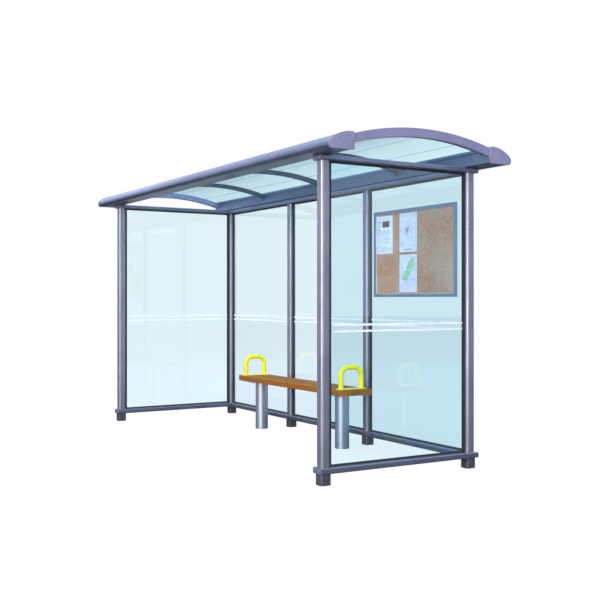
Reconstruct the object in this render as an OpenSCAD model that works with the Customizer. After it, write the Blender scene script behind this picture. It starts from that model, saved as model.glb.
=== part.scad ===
/* [Plan] */
// Distance between neighbouring back posts, centre to centre
bay_pitch = 1300; // [1100:10:1500]
// Number of glazed bays along the back
bays = 3; // [3:1:3]
// Distance between the front and back post lines, centre to centre
depth = 1275; // [1150:25:1600]
// Height from the ground to the top of the top rails
rail_top = 2224; // [2050:2:2450]

/* [Posts and feet] */
// Width of a square post
post_w = 72; // [60:1:80]
// Corner radius of a post
post_r = 20; // [6:1:24]
// Width of a square foot
foot_w = 80; // [70:1:100]
// Corner radius of a foot
foot_r = 12; // [6:1:20]
// Height of a foot, from the ground to the bottom rails
foot_h = 78; // [50:1:140]

/* [Rails] */
// Width of the rails, seen from above
rail_w = 110; // [100:1:130]
// Height of the bottom rails
bottom_rail_h = 41; // [30:1:60]
// Height of the top rails
top_rail_h = 35; // [28:1:50]
// Radius of the long edges of the rails
rail_r = 8; // [4:1:12]
// How far an end rail runs past the middle of its front post
rail_nose = 47; // [40:1:60]

/* [Glazing] */
// Thickness of the glass
pane_t = 8; // [6:1:10]
// Thickness of the rubber glazing frame
gasket_t = 14; // [12:1:20]
// Width of the glazing frame that shows beside a post
gasket_side = 24; // [16:1:36]
// Width of the glazing frame that shows along a rail
gasket_edge = 13; // [8:1:20]
// Depth of the groove that holds the glass
pane_bite = 6; // [4:1:7]

/* [Roof] */
// How far the roof, with its end caps, runs past the end post lines
roof_overhang = 300; // [200:10:400]
// Outer radius of the barrel roof
arch_r = 2150; // [1900:10:3000]
// How far the end arches lie below the fascia's top where they meet it
arch_cover = 6.3; // [5:0.1:10]
// How far the roof sheets lie below the outer face of the end arches
sheet_drop = 15; // [8:1:20]
// Depth of an end arch, measured along its radius
end_arch_h = 60; // [48:1:64]
// Width of an end arch along the roof
end_arch_w = 45; // [36:1:60]
// Width of the ledge of an end arch that carries the roof sheet
arch_ledge = 18; // [12:1:24]
// Depth of an inner roof rib, measured along its radius
rib_h = 31; // [24:1:40]
// Width of an inner roof rib along the roof
rib_w = 40; // [30:1:60]
// Thickness of the clear roof sheets
sheet_t = 6; // [4:1:8]
// Gap between the ends of neighbouring roof sheets
sheet_gap = 4; // [2:1:8]
// Width of the cover strip over a joint between roof sheets
cover_w = 50; // [40:1:70]
// Thickness of that cover strip
cover_t = 3; // [2:1:5]

/* [Fascia and gutter] */
// How far the fascia's inner face lies inside the post line
fascia_in = 49.5; // [40:0.5:54]
// How far the fascia's nose reaches outside the post line
fascia_out = 144; // [120:1:180]
// Radius of the fascia's rounded nose
nose_r = 31; // [26:1:36]
// Radius of the fascia's crowned top
crown_r = 240; // [200:5:300]
// Angle at which the nose runs into the crowned top
nose_angle = 47; // [44:1:50]
// Width of the sloped lip on the fascia's underside
lip_w = 30; // [20:1:40]
// Rise of that lip
lip_h = 9; // [5:1:12]
// How deep the roof sheets enter the fascia
sheet_bite = 10; // [6:1:14]
// Thickness of the end caps
cap_t = 10; // [6:1:20]
// How far the end caps stand out round the fascia
cap_lip = 3; // [2:1:5]

/* [Bench] */
// Length of the bench seat
seat_len = 1860; // [1500:10:2200]
// Height of the top of the seat
seat_top = 508; // [430:1:540]
// Thickness of the seat boards
board_t = 48; // [32:1:56]
// Width of the front, middle and rear seat boards
board_widths = [105, 70, 122];
// Gap between seat boards
board_gap = 1.5; // [1:0.5:4]
// Distance from the back post line to the rear edge of the seat
seat_back_gap = 152; // [120:1:200]
// Plan radius of the seat's front corners
seat_corner_r = 45; // [20:1:60]
// Radius of the long edges of the boards
board_edge_r = 4; // [2:1:8]
// Distance from the end of the seat to the middle of a leg
leg_inset = 225; // [120:1:300]
// Diameter of a bench leg
leg_d = 120; // [90:1:130]
// Wall thickness of a bench leg
leg_wall = 5; // [4:1:8]
// Width of the steel plate on a leg
bracket_w = 120; // [80:1:130]
// How far that plate stays inside the front and rear edges of the seat
bracket_inset = 15; // [5:1:40]
// Thickness of that plate
bracket_t = 6; // [4:1:10]

/* [Armrest hoops] */
// Distance from the end of the seat to the middle of a hoop
hoop_inset = 90; // [50:1:120]
// Diameter of a hoop's tube
hoop_d = 43; // [30:1:48]
// Width over the outside of a hoop
hoop_w = 244; // [200:1:260]
// Height of a hoop over the seat
hoop_h = 202; // [160:1:240]
// Bend radius at the middle of the hoop's tube
hoop_bend_r = 70; // [50:1:75]
// How far a hoop's base plate reaches past the tube at the sides
hoop_plate_side = 10; // [6:1:20]
// How far a hoop's base plate reaches past the tube at the front and back
hoop_plate_end = 13; // [8:0.5:30]
// Thickness of that plate
hoop_plate_t = 6; // [4:1:10]
// Corner radius of a hoop's base plate
hoop_plate_r = 10; // [4:1:20]

/* [Notice board] */
// Space between the notice board and the posts beside it
board_margin = 84; // [40:1:200]
// Height of the notice board
board_h = 718; // [500:2:900]
// Height of the middle of the notice board over the ground
board_z = 1630; // [1400:5:1700]
// Width of the notice board's frame
frame_w = 24; // [18:1:40]
// Thickness of the notice board's frame
frame_t = 18; // [14:1:30]
// Thickness of the cork panel
cork_t = 10; // [6:1:12]

/* [Hidden] */
$fn = 96;
FRONT = -depth / 2;
BACK = depth / 2;
HALF_LEN = bays * bay_pitch / 2;
END_X = [-HALF_LEN, HALF_LEN];
BACK_X = [for (i = [0 : bays]) -HALF_LEN + i * bay_pitch];
BOTTOM_RAIL_TOP = foot_h + bottom_rail_h;
TOP_RAIL_BASE = rail_top - top_rail_h;
POST_H = TOP_RAIL_BASE - BOTTOM_RAIL_TOP;
BAY_CLEAR = bay_pitch - post_w;
END_CLEAR = depth - post_w;
NOSE = [fascia_out - nose_r, nose_r];
CROWN = NOSE - (crown_r - nose_r) * [cos(nose_angle), sin(nose_angle)];
FASCIA_TOP = CROWN[1] + sqrt(crown_r * crown_r - (fascia_in + CROWN[0]) * (fascia_in + CROWN[0]));
ROOF_INNER = depth / 2 - fascia_in;
ARCH_Z = rail_top + FASCIA_TOP - arch_cover - sqrt(arch_r * arch_r - ROOF_INNER * ROOF_INNER);
SHEET_IN = sheet_drop + sheet_t;
ROOF_LEN = 2 * (HALF_LEN + roof_overhang);
ARCH_OUT_X = ROOF_LEN / 2 - cap_t;
FASCIA_LEN = ROOF_LEN - 2 * cap_t;
RIB_PITCH = ROOF_LEN / 4;
RIB_X = [for (i = [-1 : 1]) i * RIB_PITCH];
SHEET_ENDS = [-ARCH_OUT_X + end_arch_w - arch_ledge + sheet_gap / 2, -RIB_PITCH, 0, RIB_PITCH,
              ARCH_OUT_X - end_arch_w + arch_ledge - sheet_gap / 2];
BOARD_STARTS = [0, board_widths[0] + board_gap, board_widths[0] + board_widths[1] + 2 * board_gap];
SEAT_DEPTH = BOARD_STARTS[2] + board_widths[2];
SEAT_FRONT = BACK - seat_back_gap - SEAT_DEPTH;
SEAT_Y = SEAT_FRONT + SEAT_DEPTH / 2;
LEG_X = seat_len / 2 - leg_inset;
LEG_H = seat_top - board_t - bracket_t;
HOOP_X = seat_len / 2 - hoop_inset;
HOOP_HALF = (hoop_w - hoop_d) / 2;
HOOP_BEND_Z = seat_top + hoop_h - hoop_d / 2 - hoop_bend_r;
BOARD_X = HALF_LEN - bay_pitch / 2;
BOARD_W = BAY_CLEAR - 2 * board_margin;
BOARD_BACK = BACK - pane_t / 2;
FAR = 4000;
ARCH_FN = 360;

METAL = "#7d8099";
METAL_DARK = "#5c5f72";
FOOT_GREY = "#3c3e46";
GLASS = [0.80, 0.92, 0.94, 0.35];
ROOF_CLEAR = [0.74, 0.88, 0.94, 0.45];
RUBBER = "#1c2128";
STEEL = "#9ca3b3";
TIMBER = "#b06e32";
YELLOW = "#e1f014";
CORK = "#b9a18e";

// A rectangle about the origin with round corners
module rounded_rect(w, h, r) {
    square([w - 2 * r, h], center = true);
    square([w, h - 2 * r], center = true);
    for (x = [-1, 1], y = [-1, 1])
        translate([x * (w / 2 - r), y * (h / 2 - r)]) circle(r = r);
}

// Turns an outline drawn in Y and Z into a bar along X, centred on x
module along_x(x, len) {
    translate([x, 0, 0]) rotate([90, 0, 90]) linear_extrude(len, center = true) children();
}

// Turns an outline drawn in X and Z into a bar along Y, from y0 to y1
module along_y(y0, y1) {
    translate([0, y1, 0]) rotate([90, 0, 0]) linear_extrude(y1 - y0) children();
}

// A box about the point [x, y, z]
module block(x, y, z, size) {
    translate([x, y, z]) cube(size, center = true);
}

module post(x, y) {
    color(METAL) translate([x, y, BOTTOM_RAIL_TOP])
        linear_extrude(POST_H) rounded_rect(post_w, post_w, post_r);
}

module feet(xs, y) {
    color(FOOT_GREY) for (x = xs)
        translate([x, y, 0]) linear_extrude(foot_h) rounded_rect(foot_w, foot_w, foot_r);
}

// The rails' outline, with its base at height z
module rail_outline(z, h) {
    translate([0, z + h / 2]) rounded_rect(rail_w, h, rail_r);
}

// The region behind the two mitre cuts, grown sideways from the back rail
module back_mitre_region(z, h) {
    translate([0, 0, z - 1]) linear_extrude(h + 2) polygon([
        [-HALF_LEN - rail_w, BACK + rail_w], [HALF_LEN + rail_w, BACK + rail_w],
        [HALF_LEN - rail_w, BACK - rail_w], [-HALF_LEN + rail_w, BACK - rail_w]]);
}

module end_rail(side, z, h) {
    color(METAL) difference() {
        translate([side * HALF_LEN, 0, 0]) along_y(FRONT - rail_nose, BACK + rail_w / 2) rail_outline(z, h);
        back_mitre_region(z, h);
    }
}

module back_rail(z, h) {
    color(METAL) intersection() {
        translate([0, BACK, 0]) along_x(0, 2 * HALF_LEN + rail_w) rail_outline(z, h);
        back_mitre_region(z, h);
    }
}

// A pane for an opening of the given clear width, standing in X and Z about the origin
module pane_solid(clear_w) {
    block(0, 0, BOTTOM_RAIL_TOP + POST_H / 2,
          [clear_w - 2 * (gasket_side - pane_bite), pane_t, POST_H - 2 * (gasket_edge - pane_bite)]);
}

module gasket_solid(clear_w) {
    middle = BOTTOM_RAIL_TOP + POST_H / 2;
    difference() {
        block(0, 0, middle, [clear_w, gasket_t, POST_H]);
        block(0, 0, middle, [clear_w - 2 * gasket_side, 2 * gasket_t, POST_H - 2 * gasket_edge]);
        pane_solid(clear_w);
    }
}

module end_pane(side) {
    color(GLASS) translate([side * HALF_LEN, 0, 0]) rotate([0, 0, 90]) pane_solid(END_CLEAR);
}

module back_pane(bay) {
    color(GLASS) translate([BACK_X[bay] + bay_pitch / 2, BACK, 0]) pane_solid(BAY_CLEAR);
}

module end_gaskets() {
    color(RUBBER) for (x = END_X)
        translate([x, 0, 0]) rotate([0, 0, 90]) gasket_solid(END_CLEAR);
}

module back_gaskets() {
    color(RUBBER) for (bay = [0 : bays - 1])
        translate([BACK_X[bay] + bay_pitch / 2, BACK, 0]) gasket_solid(BAY_CLEAR);
}

// The roof's cross-section between two depths below its outer radius
module arch_band(top, bottom, half_span) {
    intersection() {
        translate([0, ARCH_Z]) difference() {
            circle(r = arch_r - top, $fn = ARCH_FN);
            circle(r = arch_r - bottom, $fn = ARCH_FN);
        }
        translate([-half_span, rail_top]) square([2 * half_span, FAR]);
    }
}

module roof_arch(x, w, top, bottom) {
    along_x(x, w) arch_band(top, bottom, ROOF_INNER);
}

// An end arch, with a ledge on its inner side for the roof sheet
module end_arch(side) {
    face_w = end_arch_w - arch_ledge;
    color(METAL) union() {
        roof_arch(side * (ARCH_OUT_X - face_w / 2), face_w, 0, end_arch_h);
        roof_arch(side * (ARCH_OUT_X - end_arch_w / 2), end_arch_w, SHEET_IN, end_arch_h);
    }
}

module roof_rib(i) {
    color(METAL_DARK) roof_arch(RIB_X[i], rib_w, SHEET_IN, SHEET_IN + rib_h);
}

module roof_sheet(i) {
    x0 = SHEET_ENDS[i] + (i == 0 ? 0 : sheet_gap / 2);
    x1 = SHEET_ENDS[i + 1] - (i == 3 ? 0 : sheet_gap / 2);
    color(ROOF_CLEAR) along_x((x0 + x1) / 2, x1 - x0) arch_band(sheet_drop, SHEET_IN, ROOF_INNER + sheet_bite);
}

module roof_joint_covers() {
    color(METAL) for (x = RIB_X)
        along_x(x, cover_w) arch_band(sheet_drop - cover_t, sheet_drop, ROOF_INNER - 2 * cover_t);
}

// The fascia's outline: x runs outwards from the post line, y up from the top rail
module fascia_outline(grow = 0) {
    tangent = NOSE + 2 * nose_r * [cos(nose_angle), sin(nose_angle)];
    translate(NOSE) circle(r = nose_r + grow);
    intersection() {
        translate(CROWN) circle(r = crown_r + grow);
        polygon([[-fascia_in - grow, lip_h - grow], [-fascia_in + lip_w, -grow], [NOSE[0], -grow],
                 NOSE, tangent, [-fascia_in - grow, crown_r]]);
    }
}

// Places an outline of the fascia on the front (side -1) or back (side 1) post line
module fascia_place(side) {
    translate([side * depth / 2, rail_top]) mirror([side < 0 ? 1 : 0, 0]) children();
}

module fascia(side) {
    color(METAL) along_x(0, FASCIA_LEN) difference() {
        fascia_place(side) fascia_outline();
        arch_band(sheet_drop, SHEET_IN, ROOF_INNER + sheet_bite + sheet_gap);
    }
}

module roof_caps(side) {
    color(METAL) for (edge = [-1, 1])
        along_x(side * (ROOF_LEN - cap_t) / 2, cap_t) difference() {
            fascia_place(edge) fascia_outline(cap_lip);
            translate([-FAR, rail_top - FAR]) square([2 * FAR, FAR]);
        }
}

// One seat board: its section along X, cut to the seat's plan with round front corners
module seat_board(i) {
    w = board_widths[i];
    color(TIMBER) intersection() {
        translate([0, SEAT_FRONT + BOARD_STARTS[i] + w / 2, seat_top - board_t / 2])
            along_x(0, seat_len) rounded_rect(w, board_t, board_edge_r);
        translate([0, SEAT_FRONT, 0]) linear_extrude(2 * seat_top) {
            translate([-seat_len / 2, seat_corner_r]) square([seat_len, SEAT_DEPTH]);
            translate([-seat_len / 2 + seat_corner_r, 0]) square([seat_len - 2 * seat_corner_r, SEAT_DEPTH]);
            for (x = [-1, 1])
                translate([x * (seat_len / 2 - seat_corner_r), seat_corner_r]) circle(r = seat_corner_r);
        }
    }
}

module seat_leg(side) {
    color(STEEL) translate([side * LEG_X, SEAT_Y, 0]) difference() {
        cylinder(h = LEG_H, d = leg_d);
        translate([0, 0, -1]) cylinder(h = LEG_H + 2, d = leg_d - 2 * leg_wall);
    }
}

module seat_leg_plates() {
    color(STEEL) for (side = [-1, 1])
        block(side * LEG_X, SEAT_Y, LEG_H + bracket_t / 2,
              [bracket_w, SEAT_DEPTH - 2 * bracket_inset, bracket_t]);
}

// A hoop bent in the Y-Z plane, on its base plate
module armrest_hoop(side) {
    foot_z = seat_top + hoop_plate_t / 2;
    color(YELLOW) translate([side * HOOP_X, SEAT_Y, 0]) union() {
        translate([0, 0, seat_top]) linear_extrude(hoop_plate_t)
            rounded_rect(hoop_d + 2 * hoop_plate_side, hoop_w + 2 * hoop_plate_end, hoop_plate_r);
        for (y = [-1, 1]) {
            translate([0, y * HOOP_HALF, foot_z]) cylinder(h = HOOP_BEND_Z - foot_z, d = hoop_d);
            translate([0, y * (HOOP_HALF - hoop_bend_r), HOOP_BEND_Z]) rotate([90, 0, y * 90])
                rotate_extrude(angle = 90) translate([hoop_bend_r, 0]) circle(d = hoop_d);
        }
        translate([0, HOOP_HALF - hoop_bend_r, HOOP_BEND_Z + hoop_bend_r]) rotate([90, 0, 0])
            cylinder(h = 2 * (HOOP_HALF - hoop_bend_r), d = hoop_d);
    }
}

module notice_board_frame() {
    color(METAL) difference() {
        block(BOARD_X, BOARD_BACK - frame_t / 2, board_z, [BOARD_W, frame_t, board_h]);
        block(BOARD_X, BOARD_BACK - frame_t / 2, board_z,
              [BOARD_W - 2 * frame_w, 2 * frame_t, board_h - 2 * frame_w]);
    }
}

module notice_board_panel() {
    color(CORK) block(BOARD_X, BOARD_BACK - cork_t / 2, board_z,
                      [BOARD_W - 2 * frame_w, cork_t, board_h - 2 * frame_w]);
}

post(-HALF_LEN, FRONT);  // front_left_post
post(HALF_LEN, FRONT);  // front_right_post
post(BACK_X[0], BACK);  // back_left_post
post(BACK_X[1], BACK);  // back_mid_left_post
post(BACK_X[2], BACK);  // back_mid_right_post
post(BACK_X[3], BACK);  // back_right_post
feet(END_X, FRONT);  // front_feet
feet(BACK_X, BACK);  // back_feet
end_rail(-1, foot_h, bottom_rail_h);  // left_bottom_rail
end_rail(1, foot_h, bottom_rail_h);  // right_bottom_rail
back_rail(foot_h, bottom_rail_h);  // back_bottom_rail
end_rail(-1, TOP_RAIL_BASE, top_rail_h);  // left_top_rail
end_rail(1, TOP_RAIL_BASE, top_rail_h);  // right_top_rail
back_rail(TOP_RAIL_BASE, top_rail_h);  // back_top_rail
end_pane(-1);  // left_end_pane
end_pane(1);  // right_end_pane
back_pane(0);  // back_left_pane
back_pane(1);  // back_centre_pane
back_pane(2);  // back_right_pane
end_gaskets();
back_gaskets();
fascia(-1);  // front_fascia
fascia(1);  // rear_gutter
roof_caps(-1);  // left_roof_caps
roof_caps(1);  // right_roof_caps
end_arch(-1);  // left_end_arch
end_arch(1);  // right_end_arch
roof_rib(0);  // left_roof_rib
roof_rib(1);  // centre_roof_rib
roof_rib(2);  // right_roof_rib
roof_sheet(0);  // outer_left_roof_sheet
roof_sheet(1);  // inner_left_roof_sheet
roof_sheet(2);  // inner_right_roof_sheet
roof_sheet(3);  // outer_right_roof_sheet
roof_joint_covers();
seat_board(0);  // seat_front_board
seat_board(1);  // seat_middle_board
seat_board(2);  // seat_rear_board
seat_leg(-1);  // left_seat_leg
seat_leg(1);  // right_seat_leg
seat_leg_plates();
armrest_hoop(-1);  // left_armrest_hoop
armrest_hoop(1);  // right_armrest_hoop
notice_board_frame();
notice_board_panel();
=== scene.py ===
"""Finishes, printed notices, small fixings and a soft studio round the bus shelter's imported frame.

Everything is in metres in the frame's own axes: X along the shelter, -Y the open front, +Y the glazed back, Z up.
"""

from __future__ import annotations

import logging
import math
import random
from dataclasses import dataclass, field
from enum import Enum
from typing import Any, Callable, Sequence

import bmesh
import bpy
from mathutils import Matrix, Vector


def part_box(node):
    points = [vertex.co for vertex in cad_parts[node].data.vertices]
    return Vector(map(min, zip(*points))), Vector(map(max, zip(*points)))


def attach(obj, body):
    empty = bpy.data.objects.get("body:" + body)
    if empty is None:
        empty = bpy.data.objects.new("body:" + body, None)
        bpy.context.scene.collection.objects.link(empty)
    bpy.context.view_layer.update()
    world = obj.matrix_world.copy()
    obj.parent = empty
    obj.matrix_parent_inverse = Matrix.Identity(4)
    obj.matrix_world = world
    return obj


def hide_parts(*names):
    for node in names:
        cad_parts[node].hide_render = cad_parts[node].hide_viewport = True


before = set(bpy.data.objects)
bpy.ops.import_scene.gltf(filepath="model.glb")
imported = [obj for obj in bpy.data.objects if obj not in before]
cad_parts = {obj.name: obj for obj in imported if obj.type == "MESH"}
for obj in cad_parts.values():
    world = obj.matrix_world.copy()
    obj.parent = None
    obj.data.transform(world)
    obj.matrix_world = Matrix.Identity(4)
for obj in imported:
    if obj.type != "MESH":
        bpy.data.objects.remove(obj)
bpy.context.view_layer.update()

LOG = logging.getLogger("bus_shelter")
Tree, Node, Socket, Shape = bpy.types.NodeTree, bpy.types.Node, bpy.types.NodeSocket, bmesh.types.BMesh
Span = tuple[float, float]
MM = 0.001
BODY = "root"
SMOOTH_ANGLE = math.radians(38)
COLOURS = {"data_type": "RGBA"}
MIRROR_KEEP = 0.38  # keeps the metal above the glass, which mirrors what lies behind the panes, from going black
WHITE = (1.0, 1.0, 1.0, 1.0)
X_AXIS, Y_AXIS, Z_AXIS = Vector((1, 0, 0)), Vector((0, 1, 0)), Vector((0, 0, 1))


# --- Small helpers -------------------------------------------------------------------------------------------------


def linear(hex_colour: str) -> tuple[float, float, float, float]:
    """Turns an sRGB hex colour into linear light.

    Args:
        hex_colour: six hex digits, with or without a leading #.

    Returns:
        Red, green, blue and an alpha of 1.
    """
    digits = hex_colour.lstrip("#")
    parts = [int(digits[i : i + 2], 16) / 255 for i in (0, 2, 4)]
    light = [c / 12.92 if c <= 0.04045 else ((c + 0.055) / 1.055) ** 2.4 for c in parts]
    return (*light, 1.0)


def per_size(size_mm: float) -> float:
    """The texture scale, in repeats per metre, of a pattern whose features are size_mm across."""
    return 1.0 / (size_mm * MM)


def add_node(
    tree: Tree,
    kind: str,
    settings: dict[str, Any] | None = None,
    inputs: dict[str | int, Any] | None = None,
) -> Node:
    """Adds one shader node, sets it up and feeds its inputs.

    Args:
        tree: the node tree that gets it.
        kind: the node's type name without its ShaderNode prefix.
        settings: property values by name.
        inputs: for each input, a socket to link or a plain value.

    Returns:
        The new node.
    """
    node = tree.nodes.new(f"ShaderNode{kind}")
    for key, value in (settings or {}).items():
        setattr(node, key, value)
    for key, value in (inputs or {}).items():
        if isinstance(value, Socket):
            tree.links.new(value, node.inputs[key])
        else:
            node.inputs[key].default_value = value
    return node


def sized(place: Socket, size_mm: float, detail: float) -> dict[str, Any]:
    """The inputs of a texture at place whose features are size_mm across, with that many octaves of detail."""
    return {"Vector": place, "Scale": per_size(size_mm), "Detail": detail}


def tones(share: Any, first: Any, second: Any) -> dict[int, Any]:
    """The inputs of a blend of two colours.

    Args:
        share: the second colour's share, as a socket or a number.
        first: a socket, or a hex colour.
        second: a socket, or a hex colour.

    Returns:
        The inputs by their numbers.
    """
    first, second = (linear(tone) if isinstance(tone, str) else tone for tone in (first, second))
    return {0: share, 6: first, 7: second}


def relief(strength: float, depth_mm: float, height: Socket) -> dict[str, Any]:
    """The inputs of a bump of that strength and depth, raised where height is high."""
    return {"Strength": strength, "Distance": depth_mm * MM, "Height": height}


def span(value: Any, source: Span = (0.0, 1.0), onto: Span = (0.0, 1.0)) -> dict[str, Any]:
    """The inputs that carry a value from the source range onto another."""
    return {"Value": value, "From Min": source[0], "From Max": source[1], "To Min": onto[0], "To Max": onto[1]}


def seen_straight(tree: Tree) -> tuple[Socket, Socket]:
    """Tells what is looked at from what only lights or is mirrored.

    Args:
        tree: the node tree to build in.

    Returns:
        A socket that is 1 for what is seen directly, and one that is 1 for what is seen through glass alone and
        MIRROR_KEEP for what a mirror image shows through glass.
    """
    ray = add_node(tree, "LightPath")
    limit = {0: ray.outputs["Glossy Depth"], 1: 1.0 - MIRROR_KEEP}
    mirrored = add_node(tree, "Math", {"operation": "MINIMUM"}, limit)
    unmirrored = add_node(tree, "Math", {"operation": "SUBTRACT"}, {0: 1.0, 1: mirrored.outputs[0]})
    through = add_node(
        tree, "Math", {"operation": "MULTIPLY"}, {0: ray.outputs["Is Transmission Ray"], 1: unmirrored.outputs[0]}
    )
    return ray.outputs["Is Camera Ray"], through.outputs[0]


@dataclass(frozen=True)
class Extent:
    """The box round one CAD node, read from the frame."""

    low: Vector
    high: Vector

    @classmethod
    def of(cls, node: str) -> Extent:
        """The box of the named CAD node."""
        low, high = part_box(node)
        return cls(Vector(low), Vector(high))

    @property
    def middle(self) -> Vector:
        """The middle of the box."""
        return (self.low + self.high) / 2

    @property
    def size(self) -> Vector:
        """The box's length, depth and height."""
        return self.high - self.low


# --- Finishes ------------------------------------------------------------------------------------------------------


@dataclass(frozen=True)
class Finish:
    """What a surface is made of and how it was finished."""

    name: str
    roughness: float = 0.5
    gloss_play: Span = (0.0, 0.0)

    def gloss_range(self) -> Span:
        """The roughness at its glossiest and dullest places, for a finish whose roughness varies."""
        return self.roughness + self.gloss_play[0], self.roughness + self.gloss_play[1]

    def material(self) -> bpy.types.Material:
        """The finish as a Blender material, made once and then shared.

        Returns:
            The material.
        """
        known = bpy.data.materials.get(self.name)
        if known:
            return known
        made = bpy.data.materials.new(self.name)
        made.use_nodes = True
        tree = made.node_tree
        tree.nodes.clear()
        place = add_node(tree, "TexCoord").outputs["Object"]
        shader = self.shade(tree, place)
        add_node(tree, "OutputMaterial", inputs={"Surface": shader.outputs[0]})
        return made

    def shade(self, tree: Tree, place: Socket) -> Node:
        """Builds the finish's shader.

        Args:
            tree: the node tree to build in.
            place: the socket that gives the position on the piece, in metres.

        Returns:
            The shader node that the surface shows.
        """
        raise NotImplementedError


@dataclass(frozen=True)
class CoatedAluminium(Finish):
    """Extruded aluminium with a satin metallic powder coat.

    The flakes in the coat give bright, soft lines along rounded edges over a dull face; the cured powder leaves a
    faint orange peel, and rain leaves dust low down and faint vertical runs.
    """

    colour: str = "#8f8f9e"
    pale: str = "#9b9aa8"
    dust: str = "#77736d"
    metallic: float = 0.72
    roughness: float = 0.4
    mottle_mm: float = 240.0
    peel_mm: float = 3.0  # orange peel is 1 to 2 mm across; drawn a little coarser so that it shows
    peel_depth: float = 0.05
    run_mm: float = 28.0  # level extrusions carry no runs, so theirs are made too broad to show
    run_stretch: float = 0.05
    dust_low: float = 0.06
    dust_top: float = 0.55
    dust_most: float = 0.42
    dust_least: float = 0.03
    gloss_play: Span = (-0.04, 0.07)

    def shade(self, tree: Tree, place: Socket) -> Node:
        """Coat with mottling, runs, low dust and orange peel.

        Args:
            tree: the node tree to build in.
            place: the socket that gives the position on the piece, in metres.

        Returns:
            The shader node that the surface shows.
        """
        mottle = add_node(tree, "TexNoise", inputs=sized(place, self.mottle_mm, 3.0))
        stretched = add_node(
            tree, "VectorMath", {"operation": "MULTIPLY"}, {0: place, 1: (1.0, 1.0, self.run_stretch)}
        )
        runs = add_node(tree, "TexNoise", inputs=sized(stretched.outputs[0], self.run_mm, 2.0))
        tone = add_node(tree, "MapRange", inputs=span(mottle.outputs["Fac"], (0.35, 0.65)))
        coat = add_node(tree, "Mix", COLOURS, tones(tone.outputs[0], self.colour, self.pale))
        height = add_node(tree, "SeparateXYZ", inputs={0: place})
        low = add_node(
            tree,
            "MapRange",
            inputs=span(height.outputs["Z"], (self.dust_low, self.dust_top), (self.dust_most, self.dust_least)),
        )
        dusting = add_node(tree, "Math", {"operation": "MULTIPLY"}, {0: low.outputs[0], 1: runs.outputs["Fac"]})
        dusted = add_node(tree, "Mix", COLOURS, tones(dusting.outputs[0], coat.outputs[2], self.dust))
        gloss = add_node(tree, "MapRange", inputs=span(runs.outputs["Fac"], (0.3, 0.7), self.gloss_range()))
        peel = add_node(tree, "TexNoise", inputs=sized(place, self.peel_mm, 1.0))
        bump = add_node(tree, "Bump", inputs=relief(self.peel_depth, 0.5, peel.outputs["Fac"]))
        return add_node(
            tree,
            "BsdfPrincipled",
            inputs={
                "Base Color": dusted.outputs[2],
                "Metallic": self.metallic,
                "Roughness": gloss.outputs[0],
                "Normal": bump.outputs[0],
            },
        )


@dataclass(frozen=True)
class MouldedCap(Finish):
    """Moulded ABS, through-coloured: an even, soft sheen over a fine spark-eroded grain."""

    colour: str = "#7e7d9b"
    pale: str = "#8a88a6"
    roughness: float = 0.42
    grain_mm: float = 2.0  # the eroded grain is under 1 mm; drawn coarser so that it shows
    blush_mm: float = 160.0
    gloss_play: Span = (-0.05, 0.08)

    def shade(self, tree: Tree, place: Socket) -> Node:
        """Even plastic with faint blushing and a fine grain.

        Args:
            tree: the node tree to build in.
            place: the socket that gives the position on the piece, in metres.

        Returns:
            The shader node that the surface shows.
        """
        blush = add_node(tree, "TexNoise", inputs=sized(place, self.blush_mm, 2.0))
        colour = add_node(tree, "Mix", COLOURS, tones(blush.outputs["Fac"], self.colour, self.pale))
        grain = add_node(tree, "TexNoise", inputs=sized(place, self.grain_mm, 2.0))
        bump = add_node(tree, "Bump", inputs=relief(0.08, 0.3, grain.outputs["Fac"]))
        gloss = add_node(tree, "MapRange", inputs=span(blush.outputs["Fac"], onto=self.gloss_range()))
        return add_node(
            tree,
            "BsdfPrincipled",
            inputs={
                "Base Color": colour.outputs[2],
                "Roughness": gloss.outputs[0],
                "Specular IOR Level": 0.5,
                "Normal": bump.outputs[0],
            },
        )


@dataclass(frozen=True)
class ClearSheet(Finish):
    """A clear sheet of float glass or extruded polycarbonate.

    Clean and smooth, with a cool body tint that deepens where sheets overlap, and the slight roller wave of
    toughened glass or the softer ripple of extruded plastic in its reflections. Lamps shine through it. A roof sheet
    is seen nearly edge on, so its bending is kept low, as if from one thin skin.
    """

    tint: str = "#e4f5fa"
    refraction: float = 1.5
    roughness: float = 0.0
    wave_mm: float = 260.0
    wave_depth: float = 0.03

    def shade(self, tree: Tree, place: Socket) -> Node:
        """Tinted clear body that lets lamplight pass.

        Args:
            tree: the node tree to build in.
            place: the socket that gives the position on the piece, in metres.

        Returns:
            The shader node that the surface shows.
        """
        wave = add_node(tree, "TexNoise", inputs=sized(place, self.wave_mm, 1.0))
        bump = add_node(tree, "Bump", inputs=relief(self.wave_depth, 2, wave.outputs["Fac"]))
        body = add_node(
            tree,
            "BsdfPrincipled",
            inputs={
                "Base Color": linear(self.tint),
                "Roughness": self.roughness,
                "IOR": self.refraction,
                "Transmission Weight": 1.0,
                "Normal": bump.outputs[0],
            },
        )
        passing = add_node(tree, "BsdfTransparent", inputs={"Color": linear(self.tint)})
        ray = add_node(tree, "LightPath")
        return add_node(
            tree, "MixShader", inputs={0: ray.outputs["Is Shadow Ray"], 1: body.outputs[0], 2: passing.outputs[0]}
        )


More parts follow.
